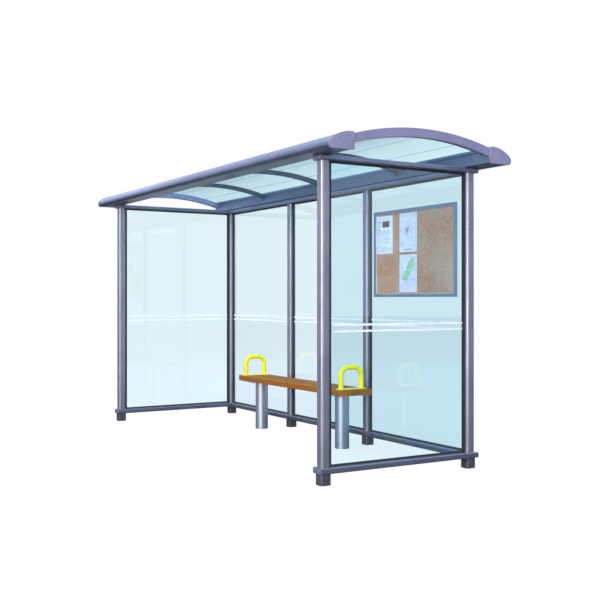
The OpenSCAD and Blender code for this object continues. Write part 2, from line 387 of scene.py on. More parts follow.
@dataclass(frozen=True)
class ExtrudedRubber(Finish):
    """Extruded EPDM rubber: nearly black, dull, with a chalky bloom in patches."""

    colour: str = "#161b20"
    bloom: str = "#2b3339"
    bloom_mm: float = 90.0
    skin_mm: float = 3.0  # the extruded skin is finer; drawn coarser so that it shows
    roughest: float = 0.75
    smoothest: float = 0.45

    def shade(self, tree: Tree, place: Socket) -> Node:
        """Black rubber with bloom and a faint skin.

        Args:
            tree: the node tree to build in.
            place: the socket that gives the position on the piece, in metres.

        Returns:
            The shader node that the surface shows.
        """
        bloom = add_node(tree, "TexNoise", inputs=sized(place, self.bloom_mm, 4.0))
        colour = add_node(tree, "Mix", COLOURS, tones(bloom.outputs["Fac"], self.colour, self.bloom))
        skin = add_node(tree, "TexNoise", inputs=sized(place, self.skin_mm, 2.0))
        bump = add_node(tree, "Bump", inputs=relief(0.15, 0.4, skin.outputs["Fac"]))
        gloss = add_node(tree, "MapRange", inputs=span(bloom.outputs["Fac"], onto=(self.smoothest, self.roughest)))
        return add_node(
            tree,
            "BsdfPrincipled",
            inputs={
                "Base Color": colour.outputs[2],
                "Roughness": gloss.outputs[0],
                "Normal": bump.outputs[0],
            },
        )


@dataclass(frozen=True)
class DippedSteel(Finish):
    """Hot-dip galvanised steel under dark paint: spangles show faintly, and road dirt clings near the ground."""

    colour: str = "#4d4f59"
    spangle: str = "#626570"
    dirt: str = "#5d5851"
    spangle_mm: float = 14.0
    grit_mm: float = 9.0
    metallic: float = 0.55
    roughness: float = 0.5
    dirt_top: float = 0.06

    def shade(self, tree: Tree, place: Socket) -> Node:
        """Spangled dark metal with dirt low down.

        Args:
            tree: the node tree to build in.
            place: the socket that gives the position on the piece, in metres.

        Returns:
            The shader node that the surface shows.
        """
        cells = add_node(tree, "TexVoronoi", inputs={"Vector": place, "Scale": per_size(self.spangle_mm)})
        tone = add_node(tree, "SeparateColor", inputs={0: cells.outputs["Color"]})
        metal = add_node(tree, "Mix", COLOURS, tones(tone.outputs[0], self.colour, self.spangle))
        grit = add_node(tree, "TexNoise", inputs=sized(place, self.grit_mm, 5.0))
        height = add_node(tree, "SeparateXYZ", inputs={0: place})
        low = add_node(tree, "MapRange", inputs=span(height.outputs["Z"], (0.0, self.dirt_top), (1.0, 0.0)))
        amount = add_node(tree, "Math", {"operation": "MULTIPLY"}, {0: low.outputs[0], 1: grit.outputs["Fac"]})
        colour = add_node(tree, "Mix", COLOURS, tones(amount.outputs[0], metal.outputs[2], self.dirt))
        bump = add_node(tree, "Bump", inputs=relief(0.2, 0.4, grit.outputs["Fac"]))
        return add_node(
            tree,
            "BsdfPrincipled",
            inputs={
                "Base Color": colour.outputs[2],
                "Metallic": self.metallic,
                "Roughness": self.roughness,
                "Normal": bump.outputs[0],
            },
        )


@dataclass(frozen=True)
class BrushedSteel(Finish):
    """Stainless steel tube, brushed along its length: a long satin highlight with fine lines in it."""

    colour: str = "#c4c8d2"
    shade_colour: str = "#aeb4c0"
    roughness: float = 0.46
    line_mm: float = 2.5  # brushing is about 0.2 mm; drawn coarser so that it shows
    line_length: float = 0.03
    smear_mm: float = 70.0
    gloss_play: Span = (-0.08, 0.12)

    def shade(self, tree: Tree, place: Socket) -> Node:
        """Metal with lengthwise lines in its colour, gloss and relief.

        Args:
            tree: the node tree to build in.
            place: the socket that gives the position on the piece, in metres.

        Returns:
            The shader node that the surface shows.
        """
        drawn = add_node(tree, "VectorMath", {"operation": "MULTIPLY"}, {0: place, 1: (1.0, 1.0, self.line_length)})
        lines = add_node(tree, "TexNoise", inputs=sized(drawn.outputs[0], self.line_mm, 3.0))
        smear = add_node(tree, "TexNoise", inputs=sized(place, self.smear_mm, 3.0))
        colour = add_node(tree, "Mix", COLOURS, tones(lines.outputs["Fac"], self.colour, self.shade_colour))
        gloss = add_node(tree, "MapRange", inputs=span(smear.outputs["Fac"], onto=self.gloss_range()))
        bump = add_node(tree, "Bump", inputs=relief(0.06, 0.2, lines.outputs["Fac"]))
        return add_node(
            tree,
            "BsdfPrincipled",
            inputs={
                "Base Color": colour.outputs[2],
                "Metallic": 1.0,
                "Roughness": gloss.outputs[0],
                "Normal": bump.outputs[0],
            },
        )


@dataclass(frozen=True, kw_only=True)
class OiledTimber(Finish):
    """Planed and oiled iroko: warm orange brown, rings seen as long grain on the faces and arcs on the ends."""

    early: str
    late: str
    pith_y: float
    pith_z: float
    ring_mm: float = 9.0
    wander_depth: float = 0.035
    wear_mm: float = 320.0
    weathered: str = "#a98a66"
    fibre_mm: float = 3.0  # fibres and pores are under 1 mm; drawn coarser so that they show
    roughness: float = 0.46
    gloss_play: Span = (-0.06, 0.14)

    def shade(self, tree: Tree, place: Socket) -> Node:
        """Growth rings round a pith line along X, with drawn-out fibres and weathering.

        Args:
            tree: the node tree to build in.
            place: the socket that gives the position on the piece, in metres.

        Returns:
            The shader node that the surface shows.
        """
        from_pith = add_node(
            tree, "VectorMath", {"operation": "SUBTRACT"}, {0: place, 1: (0.0, self.pith_y, self.pith_z)}
        )
        slow = add_node(tree, "VectorMath", {"operation": "MULTIPLY"}, {0: from_pith.outputs[0], 1: (0.35, 3.0, 3.0)})
        wander = add_node(tree, "TexNoise", inputs={"Vector": slow.outputs[0], "Scale": 3.2, "Detail": 2.0})
        shift = add_node(
            tree, "MapRange", inputs=span(wander.outputs["Fac"], onto=(-self.wander_depth, self.wander_depth))
        )
        flat = add_node(tree, "VectorMath", {"operation": "MULTIPLY"}, {0: from_pith.outputs[0], 1: (0.0, 1.0, 1.0)})
        radius = add_node(tree, "VectorMath", {"operation": "LENGTH"}, {0: flat.outputs[0]})
        warped = add_node(tree, "Math", {"operation": "ADD"}, {0: radius.outputs["Value"], 1: shift.outputs[0]})
        ring = add_node(
            tree, "Math", {"operation": "MULTIPLY"}, {0: warped.outputs[0], 1: 2 * math.pi * per_size(self.ring_mm)}
        )
        wave = add_node(tree, "Math", {"operation": "SINE"}, {0: ring.outputs[0]})
        band = add_node(tree, "MapRange", inputs=span(wave.outputs[0], (-0.9, 1.0)))
        drawn = add_node(tree, "VectorMath", {"operation": "MULTIPLY"}, {0: place, 1: (0.03, 1.0, 1.0)})
        fibres = add_node(tree, "TexNoise", inputs=sized(drawn.outputs[0], self.fibre_mm, 4.0))
        fibre = add_node(tree, "MapRange", inputs=span(fibres.outputs["Fac"], (0.36, 0.62)))
        grain = add_node(tree, "Mix", {"data_type": "FLOAT"}, {0: 0.5, 2: band.outputs[0], 3: fibre.outputs[0]})
        wood = add_node(tree, "Mix", COLOURS, tones(grain.outputs[0], self.early, self.late))
        wear = add_node(tree, "TexNoise", inputs=sized(place, self.wear_mm, 3.0))
        worn = add_node(tree, "MapRange", inputs=span(wear.outputs["Fac"], (0.4, 0.75), (0.0, 0.1)))
        colour = add_node(tree, "Mix", COLOURS, tones(worn.outputs[0], wood.outputs[2], self.weathered))
        gloss = add_node(tree, "MapRange", inputs=span(fibre.outputs[0], onto=self.gloss_range()))
        bump = add_node(tree, "Bump", inputs=relief(0.25, 0.4, grain.outputs[0]))
        return add_node(
            tree,
            "BsdfPrincipled",
            inputs={
                "Base Color": colour.outputs[2],
                "Roughness": gloss.outputs[0],
                "Specular IOR Level": 0.04,
                "Normal": bump.outputs[0],
            },
        )


@dataclass(frozen=True)
class GlossEnamel(Finish):
    """Thick gloss powder coat on steel tube: a clear bright colour, sharp highlights, light scuffs from hands."""

    colour: str = "#f4ee0e"
    scuffed: str = "#ddd61d"
    roughness: float = 0.28
    scuff_mm: float = 45.0
    scuff_dulling: float = 0.18
    peel_mm: float = 4.0

    def shade(self, tree: Tree, place: Socket) -> Node:
        """Bright coat with soft scuffs.

        Args:
            tree: the node tree to build in.
            place: the socket that gives the position on the piece, in metres.

        Returns:
            The shader node that the surface shows.
        """
        scuffs = add_node(tree, "TexNoise", inputs=sized(place, self.scuff_mm, 5.0))
        amount = add_node(tree, "MapRange", inputs=span(scuffs.outputs["Fac"], (0.5, 0.72)))
        colour = add_node(tree, "Mix", COLOURS, tones(amount.outputs[0], self.colour, self.scuffed))
        gloss = add_node(
            tree,
            "MapRange",
            inputs=span(amount.outputs[0], onto=(self.roughness, self.roughness + self.scuff_dulling)),
        )
        peel = add_node(tree, "TexNoise", inputs=sized(place, self.peel_mm, 1.0))
        bump = add_node(tree, "Bump", inputs=relief(0.05, 0.4, peel.outputs["Fac"]))
        return add_node(
            tree,
            "BsdfPrincipled",
            inputs={
                "Base Color": colour.outputs[2],
                "Roughness": gloss.outputs[0],
                "Coat Weight": 0.15,
                "Coat Roughness": 0.12,
                "Normal": bump.outputs[0],
            },
        )


@dataclass(frozen=True)
class PressedCork(Finish):
    """Pressed granulated cork: tan grains of mixed brown, matt, with tiny pits between them."""

    light: str = "#cd9c7e"
    dark: str = "#9d603c"
    faded: str = "#c0a392"
    grain_mm: float = 7.0  # real granules are 2 to 5 mm; drawn coarser so that they show
    fade_mm: float = 330.0
    roughness: float = 0.85

    def shade(self, tree: Tree, place: Socket) -> Node:
        """Granules of mixed tone, faded in large patches.

        Args:
            tree: the node tree to build in.
            place: the socket that gives the position on the piece, in metres.

        Returns:
            The shader node that the surface shows.
        """
        cells = add_node(tree, "TexVoronoi", inputs={"Vector": place, "Scale": per_size(self.grain_mm)})
        tone = add_node(tree, "SeparateColor", inputs={0: cells.outputs["Color"]})
        grains = add_node(tree, "Mix", COLOURS, tones(tone.outputs[0], self.light, self.dark))
        fading = add_node(tree, "TexNoise", inputs=sized(place, self.fade_mm, 2.0))
        faded = add_node(tree, "MapRange", inputs=span(fading.outputs["Fac"], (0.4, 0.65), (0.0, 0.7)))
        colour = add_node(tree, "Mix", COLOURS, tones(faded.outputs[0], grains.outputs[2], self.faded))
        bump = add_node(tree, "Bump", inputs=relief(0.35, 0.8, cells.outputs["Distance"]))
        return add_node(
            tree,
            "BsdfPrincipled",
            inputs={
                "Base Color": colour.outputs[2],
                "Roughness": self.roughness,
                "Normal": bump.outputs[0],
            },
        )


@dataclass(frozen=True)
class PrintedStock(Finish):
    """Paper, vinyl film or a flat of printing ink: an even colour with a little unevenness and a soft sheen."""

    colour: str = "#f2f0f6"
    second: str = "#e4e1ec"
    patch_mm: float = 40.0
    contrast: float = 0.25
    roughness: float = 0.5
    fibre_mm: float = 2.0  # paper fibres are far finer; drawn coarser so that they show

    def shade(self, tree: Tree, place: Socket) -> Node:
        """A colour and its second tone in soft patches.

        Args:
            tree: the node tree to build in.
            place: the socket that gives the position on the piece, in metres.

        Returns:
            The shader node that the surface shows.
        """
        patches = add_node(tree, "TexNoise", inputs=sized(place, self.patch_mm, 3.0))
        amount = add_node(
            tree, "MapRange", inputs=span(patches.outputs["Fac"], (0.5 - self.contrast / 2, 0.5 + self.contrast / 2))
        )
        colour = add_node(tree, "Mix", COLOURS, tones(amount.outputs[0], self.colour, self.second))
        fibre = add_node(tree, "TexNoise", inputs=sized(place, self.fibre_mm, 2.0))
        bump = add_node(tree, "Bump", inputs=relief(0.05, 0.1, fibre.outputs["Fac"]))
        return add_node(
            tree,
            "BsdfPrincipled",
            inputs={
                "Base Color": colour.outputs[2],
                "Roughness": self.roughness,
                "Normal": bump.outputs[0],
            },
        )


@dataclass(frozen=True)
class PaleFloor(Finish):
    """A plain pale studio floor that glows a little of itself, so that it stays even out to its far edge."""

    colour: str = "#4f5153"
    second: str = "#4a4c4e"
    glow: float = 0.95
    glow_through: float = 0.95
    patch_mm: float = 900.0
    roughness: float = 0.9

    def shade(self, tree: Tree, place: Socket) -> Node:
        """Matt floor with faint patches and its own glow.

        Args:
            tree: the node tree to build in.
            place: the socket that gives the position on the piece, in metres.

        Returns:
            The shader node that the surface shows.
        """
        patches = add_node(tree, "TexNoise", inputs=sized(place, self.patch_mm, 2.0))
        colour = add_node(tree, "Mix", COLOURS, tones(patches.outputs["Fac"], self.colour, self.second))
        by_camera, by_glass = seen_straight(tree)
        direct = add_node(tree, "Math", {"operation": "MULTIPLY"}, {0: by_camera, 1: self.glow})
        through = add_node(tree, "Math", {"operation": "MULTIPLY"}, {0: by_glass, 1: self.glow_through})
        strength = add_node(tree, "Math", {"operation": "MAXIMUM"}, {0: direct.outputs[0], 1: through.outputs[0]})
        return add_node(
            tree,
            "BsdfPrincipled",
            inputs={
                "Base Color": colour.outputs[2],
                "Roughness": self.roughness,
                "Specular IOR Level": 0.0,
                "Emission Color": WHITE,
                "Emission Strength": strength.outputs[0],
            },
        )


POST_COAT = CoatedAluminium("coated_aluminium_posts")
RAIL_COAT = CoatedAluminium("coated_aluminium_rails", colour="#7a7e95", pale="#868aa1", roughness=0.3, run_mm=900.0)
FASCIA_COAT = CoatedAluminium("coated_aluminium_fascia", colour="#70778e", pale="#7b829a", roughness=0.27, run_mm=900.0)
ARCH_COAT = CoatedAluminium("coated_aluminium_arches", colour="#8587a5", pale="#9091ae", metallic=0.4, run_mm=900.0)
# Painted shade: the ribs and their cleats get a darker copy of the frame coat, for the shade under the roof.
RIB_COAT_PAINTED_SHADE = CoatedAluminium("coated_aluminium_ribs_painted_shade", colour="#585b68", pale="#646773", run_mm=900.0)
BOARD_COAT = CoatedAluminium("anodised_board_frame", colour="#7f8aa2", pale="#8f99b0", roughness=0.3, run_mm=900.0)
BOARD_BACKING = CoatedAluminium("coated_board_backing", colour="#9a9ca6", pale="#a6a8b2", roughness=0.42, metallic=0.2)
CAP_ABS = MouldedCap("moulded_abs_caps")
PANE_GLASS = ClearSheet("toughened_glass")
ROOF_SHEET = ClearSheet(
    "extruded_polycarbonate", tint="#d6f7ff", refraction=1.08, roughness=0.04, wave_mm=400.0, wave_depth=0.06
)
GASKET_RUBBER = ExtrudedRubber("extruded_epdm")
FOOT_STEEL = DippedSteel("galvanised_painted_steel")
LEG_STEEL = BrushedSteel("brushed_stainless_tube")
SCREW_STEEL = BrushedSteel("turned_stainless", colour="#c6cad2", shade_colour="#aeb3bd", roughness=0.28)
HOOP_ENAMEL = GlossEnamel("gloss_yellow_powder_coat")
BOARD_CORK = PressedCork("pressed_cork")
STRIPE_FILM = PrintedStock("white_marking_film", colour="#fbfbfa", second="#eff1f0", roughness=0.4)
BEAD_METAL = CoatedAluminium("anodised_bead", colour="#b9bfcb", pale="#c6cbd6", roughness=0.28)
END_PLATE = MouldedCap("moulded_end_plate", colour="#5c5e72", pale="#66687c")
# Painted shade: the cap screws are dark to stand for the shadow in their countersinks, which are not modelled.
CAP_SCREW_PAINTED_SHADE = BrushedSteel("cap_screw_painted_countersink_shade", colour="#5d5f70", shade_colour="#4d4f5e", roughness=0.4)
SEAM_PLASTIC = PrintedStock("welded_polycarbonate_seam", colour="#86a6bd", second="#93b1c6", roughness=0.3)
FLOOR_SCREED = PaleFloor("pale_floor")


# --- Making pieces -------------------------------------------------------------------------------------------------


def finish_piece(name: str, shape: Shape, finishes: Sequence[Finish]) -> bpy.types.Object:
    """Turns a built shape into a shown piece that rides with the shelter.

    Args:
        name: the piece's name.
        shape: the shape in the shelter's axes; it is used up.
        finishes: the finishes that the shape's face material numbers name.

    Returns:
        The new object.
    """
    bmesh.ops.recalc_face_normals(shape, faces=shape.faces)
    mesh = bpy.data.meshes.new(name)
    shape.to_mesh(mesh)
    shape.free()
    mesh.shade_smooth()
    mesh.set_sharp_from_angle(angle=SMOOTH_ANGLE)
    for finish in finishes:
        mesh.materials.append(finish.material())
    piece = bpy.data.objects.new(name, mesh)
    bpy.context.scene.collection.objects.link(piece)
    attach(piece, BODY)
    LOG.info("%s: %d faces", name, len(mesh.polygons))
    return piece


def turned(shape: Shape, profile: Sequence[tuple[float, float]], place: Matrix, sides: int = 24) -> None:
    """Adds a solid turned round its own Z axis.

    Args:
        shape: the mesh that gets it.
        profile: radius and height pairs, from the axis at the base to the axis at the top.
        place: where its own axes go.
        sides: how many flats the turning has.
    """
    rings: list[list[bmesh.types.BMVert]] = []
    for radius, height in profile:
        if radius <= 0:
            rings.append([shape.verts.new(place @ Vector((0, 0, height)))])
            continue
        angles = [2 * math.pi * i / sides for i in range(sides)]
        spots = [Vector((radius * math.cos(a), radius * math.sin(a), height)) for a in angles]
        rings.append([shape.verts.new(place @ spot) for spot in spots])
    for lower, upper in zip(rings, rings[1:]):
        for i in range(sides):
            j = (i + 1) % sides
            corners = [lower[i % len(lower)], lower[j % len(lower)], upper[j % len(upper)], upper[i % len(upper)]]
            unique = list(dict.fromkeys(corners))
            if len(unique) >= 3:
                shape.faces.new(unique)


def extruded(
    shape: Shape, outline: Sequence[tuple[float, float]], depth: float, place: Matrix, edge: float = 0.0
) -> None:
    """Adds a solid with a flat outline, its far face's rim rounded off.

    Args:
        shape: the mesh that gets it.
        outline: X and Y pairs in order round the outline.
        depth: how far it rises along its own Z.
        place: where its own axes go.
        edge: radius of the rounding round the far face.
    """
    part = bmesh.new()
    base = [part.verts.new((x, y, 0.0)) for x, y in outline]
    top = [part.verts.new((x, y, depth)) for x, y in outline]
    part.faces.new(list(reversed(base)))
    part.faces.new(top)
    for i in range(len(base)):
        j = (i + 1) % len(base)
        part.faces.new((base[i], base[j], top[j], top[i]))
    if edge > 0:
        rim = [e for e in part.edges if all(abs(v.co.z - depth) < 1e-9 for v in e.verts)]
        bmesh.ops.bevel(part, geom=rim, offset=edge, segments=3, profile=0.5, affect="EDGES", clamp_overlap=True)
    part.transform(place)
    copy = bpy.data.meshes.new("part")
    part.to_mesh(copy)
    part.free()
    shape.from_mesh(copy)
    bpy.data.meshes.remove(copy)


def round_outline(width: float, height: float, radius: float, steps: int = 6) -> list[tuple[float, float]]:
    """A rectangle about the origin with round corners.

    Args:
        width: its size along X.
        height: its size along Y.
        radius: the corner radius.
        steps: how many chords each corner has.

    Returns:
        The outline's points in order.
    """
    points = []
    for quarter, (sx, sy) in enumerate(((1, 1), (-1, 1), (-1, -1), (1, -1))):
        for i in range(steps + 1):
            angle = math.pi / 2 * (quarter + i / steps)
            points.append(
                (
                    sx * (width / 2 - radius) + radius * math.cos(angle),
                    sy * (height / 2 - radius) + radius * math.sin(angle),
                )
            )
    return points


def facing(place: Vector, outward: Vector, up: Vector = Z_AXIS) -> Matrix:
    """The placing that turns a piece's own Z to face outward.

    Args:
        place: where its origin goes.
        outward: the direction its own Z takes.
        up: the direction its own Y takes, as near as it can.

    Returns:
        The placing matrix.
    """
    z = outward.normalized()
    if abs(z.dot(up)) > 0.99:
        up = Y_AXIS
    x = up.cross(z).normalized()
    y = z.cross(x)
    turn = Matrix((x, y, z)).transposed().to_4x4()
    return Matrix.Translation(place) @ turn


def pan_screw(shape: Shape, place: Matrix, radius: float, height: float) -> None:
    """Adds a pan-head screw with a round socket.

    Args:
        shape: the mesh that gets it.
        place: where its own axes go, its head rising along Z.
        radius: the head's radius.
        height: how far the head stands up.
    """
    profile = [
        (0.0, -0.2 * height),
        (radius, -0.2 * height),
        (radius, 0.35 * height),
        (0.88 * radius, 0.75 * height),
        (0.6 * radius, height),
        (0.36 * radius, height),
        (0.32 * radius, 0.3 * height),
        (0.0, 0.3 * height),
    ]
    turned(shape, profile, place)


def hex_bolt(shape: Shape, place: Matrix, across: float) -> None:
    """Adds a hexagon bolt head on its washer.

    Args:
        shape: the mesh that gets it.
        place: where its own axes go, its head rising along Z.
        across: the head's size over its flats.
    """
    washer, thick = across * 0.92, across * 0.11
    sunk = -0.3 * MM
    turned(shape, [(0.0, sunk), (washer, sunk), (washer, thick * 0.7), (washer * 0.95, thick), (0.0, thick)], place)
    corner = across / math.sqrt(3)
    top = thick + across * 0.6
    turned(
        shape,
        [(0.0, thick), (corner, thick), (corner, top - across * 0.06), (corner * 0.88, top), (0.0, top)],
        place,
        sides=6,
    )


# --- Sub-assemblies ------------------------------------------------------------------------------------------------


class Side(Enum):
    """The two ends of the shelter, by their sign along X."""

    LEFT = -1
    RIGHT = 1


PANES = ("left_end_pane", "right_end_pane", "back_left_pane", "back_centre_pane", "back_right_pane")


@dataclass
class FrameFinishes:
    """Gives every CAD node that stays in view its finish."""

    plain: dict[str, Finish] = field(
        default_factory=lambda: {
            **{
                f"{place}_post": POST_COAT
                for place in ("front_left", "front_right", "back_left", "back_mid_left", "back_mid_right", "back_right")
            },
            **{f"{place}_bottom_rail": RAIL_COAT for place in ("left", "right", "back")},
            **{f"{place}_top_rail": RAIL_COAT for place in ("left", "right", "back")},
            **{pane: PANE_GLASS for pane in PANES},
            **{f"{place}_feet": FOOT_STEEL for place in ("front", "back")},
            **{f"{place}_gaskets": GASKET_RUBBER for place in ("end", "back")},
            **{f"{place}_end_arch": ARCH_COAT for place in ("left", "right")},
            **{f"{place}_roof_rib": RIB_COAT_PAINTED_SHADE for place in ("left", "centre", "right")},
            **{
                f"{place}_roof_sheet": ROOF_SHEET
                for place in ("outer_left", "inner_left", "inner_right", "outer_right")
            },
            **{f"{place}_seat_leg": LEG_STEEL for place in ("left", "right")},
            **{f"{place}_armrest_hoop": HOOP_ENAMEL for place in ("left", "right")},
            "front_fascia": FASCIA_COAT,
            "rear_gutter": FASCIA_COAT,
            "roof_joint_covers": ARCH_COAT,
            "seat_leg_plates": LEG_STEEL,
            "notice_board_frame": BOARD_COAT,
            "notice_board_panel": BOARD_CORK,
        }
    )
    pith_below: float = 0.055
    timber: tuple[tuple[str, str, str, float], ...] = (
        ("seat_front_board", "#ab6c2a", "#8a4f19", 0.02),
        ("seat_middle_board", "#a16324", "#7e4413", -0.03),
        ("seat_rear_board", "#a76828", "#844915", 0.035),
    )

    def dress(self) -> None:
        """Puts each finish on its nodes, and a board of its own growth on each seat board."""
        for node, finish in self.plain.items():
            self.put(node, finish)
        for number, (node, early, late, pith_aside) in enumerate(self.timber):
            middle = Extent.of(node).middle
            timber = OiledTimber(
                f"oiled_iroko_{number + 1}",
                early=early,
                late=late,
                pith_y=middle.y + pith_aside,
                pith_z=middle.z - self.pith_below - 0.02 * number,
            )
            self.put(node, timber)

    def put(self, node: str, finish: Finish) -> None:
        """Replaces what is in a CAD node's material slots by one finish.

        Args:
            node: the CAD node's name.
            finish: the finish that it gets.
        """
        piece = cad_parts[node]
        for slot in piece.material_slots:
            slot.link = "DATA"
        piece.data.materials.clear()
        piece.data.materials.append(finish.material())
        LOG.info("%s: %s", node, finish.name)


@dataclass
class GlassStripes:
    """Two white marking stripes across every pane, on both of its faces."""

    heights: tuple[float, float] = (1.034, 1.078)
    height: float = 0.014
    film: float = 0.3 * MM
    hidden_edge: float = 6 * MM
    end_corner: float = 1.5 * MM

    def build(self) -> None:
        """Makes one piece per pane."""
        for pane in PANES:
            extent = Extent.of(pane)
            along_y = extent.size.y > extent.size.x
            length = (extent.size.y if along_y else extent.size.x) - 2 * self.hidden_edge
            if along_y:
                inward = -X_AXIS if extent.middle.x > 0 else X_AXIS
                face = extent.low.x if extent.middle.x > 0 else extent.high.x
            else:
                inward, face = -Y_AXIS, extent.low.y
            thick = extent.size.x if along_y else extent.size.y
            shape = bmesh.new()
            for height in self.heights:
                spot = Vector((face, extent.middle.y, height)) if along_y else Vector((extent.middle.x, face, height))
                outline = round_outline(length, self.height, self.end_corner, 3)
                extruded(shape, outline, self.film, facing(spot, inward))
                extruded(shape, outline, self.film, facing(spot - inward * thick, -inward))
            finish_piece(f"{pane}_stripes", shape, [STRIPE_FILM])


class PrintStyle(Enum):
    """What is printed on a notice."""

    LIST = "list"
    ROUTE_MAP = "route_map"
    AREA_MAP = "area_map"


class Ink(Enum):
    """The printing inks, as the face material number that each has on a notice."""

    PAPER = 0
    GREY = 1
    DARK = 2
    BLUE = 3
    PINK = 4
    GREEN = 5
    BROWN = 6
    LILAC = 7


INK_FINISHES = {
    Ink.GREY: PrintedStock("ink_grey", colour="#8d8f9c", second="#a2a4b0", patch_mm=12.0),
    Ink.DARK: PrintedStock("ink_dark", colour="#3a3c4a", second="#55586a", patch_mm=10.0),
    Ink.BLUE: PrintedStock("ink_blue", colour="#6d86c9", second="#8b9fd6", patch_mm=30.0),
    Ink.PINK: PrintedStock("ink_pink", colour="#cf6f9f", second="#d98bb2", patch_mm=30.0),
    Ink.GREEN: PrintedStock("ink_green", colour="#8cc79a", second="#a9d8ae", patch_mm=35.0),
    Ink.BROWN: PrintedStock("ink_brown", colour="#6b4a38", second="#2f2a30", patch_mm=18.0, contrast=0.12),
    Ink.LILAC: PrintedStock("ink_lilac", colour="#cfcdea", second="#dedcf2", patch_mm=50.0),
}


@dataclass
class Notice:
    """One printed sheet pinned to the cork, with a slight belly between its pins."""

    name: str
    left: float
    bottom: float
    width: float
    height: float
    style: PrintStyle
    paper: PrintedStock
    seed: int
    cork_face: float
    stand_off: float = 0.25 * MM
    thickness: float = 0.25 * MM
    belly: float = 1.6 * MM
    ink_film: float = 0.08 * MM
    cell: float = 12 * MM
    list_margin: float = 0.012
    list_row: float = 0.0075
    paragraph: int = 9
    routes: int = 22
    route_steps: int = 6
    knot_strokes: int = 46
    streets: int = 26

    def lift(self, u: float, v: float) -> float:
        """How far the sheet stands off the cork.

        Args:
            u: the point's place across, as a share of the width.
            v: the point's place up, as a share of the height.

        Returns:
            The distance, in metres.
        """
        wave = math.sin(math.pi * u) ** 2 * (0.4 + 0.6 * math.sin(math.pi * v))
        curl = max(0.0, 0.12 - v) / 0.12 * math.sin(math.pi * u)
        return self.stand_off + self.belly * (0.7 * wave + 0.6 * curl)

    def front(self, u: float, v: float, proud: float) -> Vector:
        """A point on the sheet's front, or proud of it, given as shares of its width and height."""
        reach = self.lift(u, v) + self.thickness + proud
        return Vector((self.left + u * self.width, self.cork_face - reach, self.bottom + v * self.height))

    def sheet(self, shape: Shape) -> None:
        """Adds the paper as a thin closed sheet.

        Args:
            shape: the mesh that gets it.
        """
        across, up = round(self.width / self.cell), round(self.height / self.cell)
        layers = []
        for back in (0.0, self.thickness):
            layers.append(
                [
                    [shape.verts.new(self.front(i / across, j / up, -back)) for i in range(across + 1)]
                    for j in range(up + 1)
                ]
            )
        for layer in layers:
            for j in range(up):
                for i in range(across):
                    shape.faces.new((layer[j][i], layer[j][i + 1], layer[j + 1][i + 1], layer[j + 1][i]))
        rim = (
            [(0, i) for i in range(across)]
            + [(j, across) for j in range(up)]
            + [(up, i) for i in range(across, 0, -1)]
            + [(j, 0) for j in range(up, 0, -1)]
        )
        for (j, i), (k, m) in zip(rim, rim[1:] + rim[:1]):
            shape.faces.new((layers[0][j][i], layers[0][k][m], layers[1][k][m], layers[1][j][i]))

    def strip(
        self,
        shape: Shape,
        path: Sequence[tuple[float, float]],
        width: float,
        ink: Ink,
        layer: int = 1,
        closed: bool = False,
    ) -> None:
        """Adds one stroke of ink along a path.

        Args:
            shape: the mesh that gets it.
            path: points as metres from the sheet's lower left corner.
            width: the stroke's width.
            ink: the ink it is printed in.
            layer: 1 lies on the paper, 2 on the first ink, and so on.
            closed: whether the path comes back to its start.
        """
        points = [Vector((x, z)) for x, z in (list(path) + [path[0]] if closed else path)]
        dense = [points[0]]
        for a, b in zip(points, points[1:]):
            count = max(1, math.ceil((b - a).length / self.cell))
            dense += [a.lerp(b, k / count) for k in range(1, count + 1)]
        rows = []
        for k, point in enumerate(dense):
            before, after = dense[max(0, k - 1)], dense[min(len(dense) - 1, k + 1)]
            along = (after - before).normalized()
            normal = Vector((-along.y, along.x)) * width / 2
            row = []
            for end in (point + normal, point - normal):
                u = min(0.995, max(0.005, end.x / self.width))
                v = min(0.995, max(0.005, end.y / self.height))
                for proud in ((layer - 1) * self.ink_film - 0.5 * self.ink_film, layer * self.ink_film):
                    row.append(shape.verts.new(self.front(u, v, proud)))
            rows.append(row)
        for a, b in zip(rows, rows[1:]):
            for p, q in ((0, 1), (1, 3), (3, 2), (2, 0)):
                shape.faces.new((a[p], a[q], b[q], b[p])).material_index = ink.value
        for row in (rows[0], rows[-1]):
            shape.faces.new((row[0], row[1], row[3], row[2])).material_index = ink.value

    def patch(
        self, shape: Shape, left: float, bottom: float, width: float, height: float, ink: Ink, layer: int = 1
    ) -> None:
        """Adds a printed rectangle, given in metres from the sheet's lower left corner."""
        middle = bottom + height / 2
        self.strip(shape, [(left, middle), (left + width, middle)], height, ink, layer)

    def print_list(self, shape: Shape, draw: random.Random) -> None:
        """Rows of grey word-like bars under a heading, with a small dark picture top right.

        Args:
            shape: the mesh that gets it.
            draw: the source of random numbers.
        """
        picture_left, picture_low = 0.37 * self.width, 0.70 * self.height
        self.patch(shape, picture_left, picture_low, 0.42 * self.width, 0.165 * self.height, Ink.BROWN)
        self.patch(shape, self.list_margin, self.height - 0.026, 0.62 * self.width, 0.010, Ink.LILAC)
        top = self.height - 0.045
        for line in range(int((top - 0.016) / self.list_row)):
            z = top - line * self.list_row
            if line % self.paragraph == self.paragraph - 1:
                continue
            limit = picture_left - 0.008 if z > picture_low - 0.004 else self.width - self.list_margin
            x = self.list_margin
            if line % self.paragraph == 0:
                self.patch(shape, x, z, 0.045, 0.0036, Ink.DARK)
                continue
            while x < limit - 0.012:
                length = min(draw.uniform(0.006, 0.020), limit - x)
                self.patch(shape, x, z, length, 0.0026, Ink.GREY)
                x += length + 0.003
                if x > 0.09 and draw.random() < 0.3:
                    break

